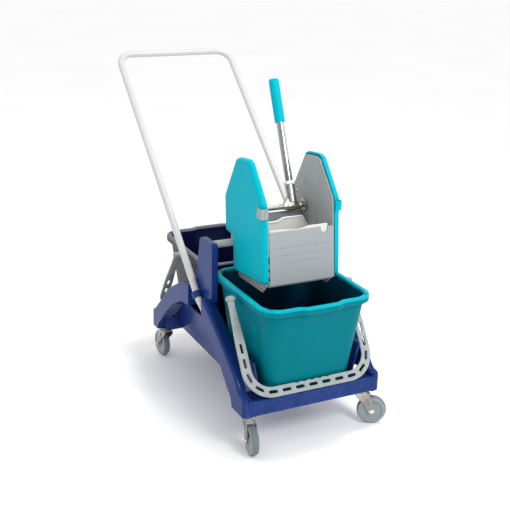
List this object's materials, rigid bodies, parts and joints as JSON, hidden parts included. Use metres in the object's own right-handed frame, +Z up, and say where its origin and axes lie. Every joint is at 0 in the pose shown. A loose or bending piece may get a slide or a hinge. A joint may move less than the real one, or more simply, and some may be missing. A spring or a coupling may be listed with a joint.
{
  "type": "twin bucket mop trolley",
  "caption": "Floor-cleaning trolley with front and rear buckets on a wheeled chassis, tube push handle, bail handles and a lever-operated press wringer.",
  "frame": {"origin": "middle of the bounding box on the floor under the wheels", "axes": "+Z up, +Y towards the push handle, -Y towards the front bucket, +X to the right seen from the front bucket end looking along +Y"},
  "size_m": [0.4372, 1.0203, 0.9017],
  "materials": {
    "chassis_blue": "glossy blue moulding",
    "handle_white": "white powder coat",
    "white_plastic": "off-white moulding",
    "bucket_teal": "satin teal moulding",
    "bucket_navy": "satin navy moulding",
    "bail_grey": "light grey moulding",
    "wringer_grey": "grey moulding",
    "cover_cyan": "bright cyan moulding",
    "satin_steel": "satin",
    "chrome": "polished",
    "zinc_steel": "yellowish zinc plate",
    "wheel_grey": "grey non-marking tread"
  },
  "bodies": {
    "base": {"chassis_tray": "chassis_blue", "side_frame_left": "chassis_blue", "side_frame_right": "chassis_blue", "post_left": "chassis_blue", "post_right": "chassis_blue", "support_rail": "handle_white", "push_handle": "handle_white", "handle_plug_left": "white_plastic", "handle_plug_right": "white_plastic", "handle_sleeve_left": "chassis_blue", "handle_sleeve_right": "chassis_blue", "caster_plate_front_left": "zinc_steel", "caster_plate_front_right": "zinc_steel", "caster_plate_rear_left": "zinc_steel", "caster_plate_rear_right": "zinc_steel"},
    "front_bucket_body": {"front_bucket": "bucket_teal", "front_bail_pin_left": "zinc_steel", "front_bail_pin_right": "zinc_steel"},
    "rear_bucket_body": {"rear_bucket": "bucket_navy", "rear_bail_pin_left": "zinc_steel", "rear_bail_pin_right": "zinc_steel"},
    "front_bail_body": {"front_bail": "bail_grey"},
    "rear_bail_body": {"rear_bail": "bail_grey"},
    "wringer": {"side_plate_left": "wringer_grey", "side_plate_right": "wringer_grey", "cover_left": "cover_cyan", "cover_right": "cover_cyan", "cover_clip_left": "wringer_grey", "cover_clip_right": "cover_cyan", "front_plate": "wringer_grey", "front_liner": "white_plastic", "back_plate": "wringer_grey", "drain_floor": "wringer_grey", "shaft_bush_left": "satin_steel", "shaft_bush_right": "satin_steel"},
    "lever": {"cross_shaft": "satin_steel", "lever_socket": "satin_steel", "lever_collar": "white_plastic", "lever_tube": "chrome", "lever_grip": "cover_cyan", "pinion_left": "white_plastic", "pinion_right": "white_plastic"},
    "jaw": {"press_jaw": "white_plastic", "rack_left": "white_plastic", "rack_right": "white_plastic"},
    "swivel_front_left": {"caster_fork_front_left": "zinc_steel", "caster_axle_front_left": "satin_steel"},
    "wheel_front_left": {"caster_wheel_front_left": "wheel_grey"},
    "swivel_front_right": {"caster_fork_front_right": "zinc_steel", "caster_axle_front_right": "satin_steel"},
    "wheel_front_right": {"caster_wheel_front_right": "wheel_grey"},
    "swivel_rear_left": {"caster_fork_rear_left": "zinc_steel", "caster_axle_rear_left": "satin_steel"},
    "wheel_rear_left": {"caster_wheel_rear_left": "wheel_grey"},
    "swivel_rear_right": {"caster_fork_rear_right": "zinc_steel", "caster_axle_rear_right": "satin_steel"},
    "wheel_rear_right": {"caster_wheel_rear_right": "wheel_grey"}
  },
  "joints": [
    {"name": "front_bucket_lift", "type": "slide", "parent": "base", "child": "front_bucket_body", "axis": [0, 0, 1], "range_m": [0, 0.036]},
    {"name": "rear_bucket_lift", "type": "slide", "parent": "base", "child": "rear_bucket_body", "axis": [0, 0, 1], "range_m": [0, 0.045]},
    {"name": "front_bail_swing", "type": "hinge", "parent": "front_bucket_body", "child": "front_bail_body", "pos_m": [-0.01567, -0.33, 0.376], "axis": [-1, 0, 0], "range_deg": [0, 110]},
    {"name": "rear_bail_swing", "type": "hinge", "parent": "rear_bucket_body", "child": "rear_bail_body", "pos_m": [-0.01567, 0.039, 0.376], "axis": [1, 0, 0], "range_deg": [0, 105]},
    {"name": "wringer_lift", "type": "slide", "parent": "base", "child": "wringer", "axis": [0, 0, 1], "range_m": [0, 0.2]},
    {"name": "lever_pull", "type": "hinge", "parent": "wringer", "child": "lever", "pos_m": [0.04183, -0.2185, 0.5695], "axis": [-1, 0, 0], "range_deg": [0, 70]},
    {"name": "jaw_press", "type": "slide", "parent": "wringer", "child": "jaw", "axis": [0, -1, 0], "range_m": [0, 0.049]},
    {"name": "swivel_front_left", "type": "hinge", "parent": "base", "child": "swivel_front_left", "pos_m": [-0.18567, -0.4405, 0.1], "axis": [0, 0, 1], "continuous": true},
    {"name": "wheel_roll_front_left", "type": "hinge", "parent": "swivel_front_left", "child": "wheel_front_left", "pos_m": [-0.19062, -0.47009, 0.04], "axis": [0.9863, -0.165, 0], "continuous": true},
    {"name": "swivel_front_right", "type": "hinge", "parent": "base", "child": "swivel_front_right", "pos_m": [0.15433, -0.4405, 0.1], "axis": [0, 0, 1], "continuous": true},
    {"name": "wheel_roll_front_right", "type": "hinge", "parent": "swivel_front_right", "child": "wheel_front_right", "pos_m": [0.18069, -0.45481, 0.04], "axis": [0.4772, 0.8788, 0], "continuous": true},
    {"name": "swivel_rear_left", "type": "hinge", "parent": "base", "child": "swivel_rear_left", "pos_m": [-0.18567, 0.1495, 0.1], "axis": [0, 0, 1], "continuous": true},
    {"name": "wheel_roll_rear_left", "type": "hinge", "parent": "swivel_rear_left", "child": "wheel_rear_left", "pos_m": [-0.18724, 0.17946, 0.04], "axis": [-0.9986, -0.0523, 0], "continuous": true},
    {"name": "swivel_rear_right", "type": "hinge", "parent": "base", "child": "swivel_rear_right", "pos_m": [0.15433, 0.1495, 0.1], "axis": [0, 0, 1], "continuous": true},
    {"name": "wheel_roll_rear_right", "type": "hinge", "parent": "swivel_rear_right", "child": "wheel_rear_right", "pos_m": [0.16748, 0.17646, 0.04], "axis": [-0.8988, 0.4384, 0], "continuous": true}
  ],
  "couplings": [
    {"joint": "jaw_press", "follows": "lever_pull", "m_per_rad": 0.04}
  ]
}
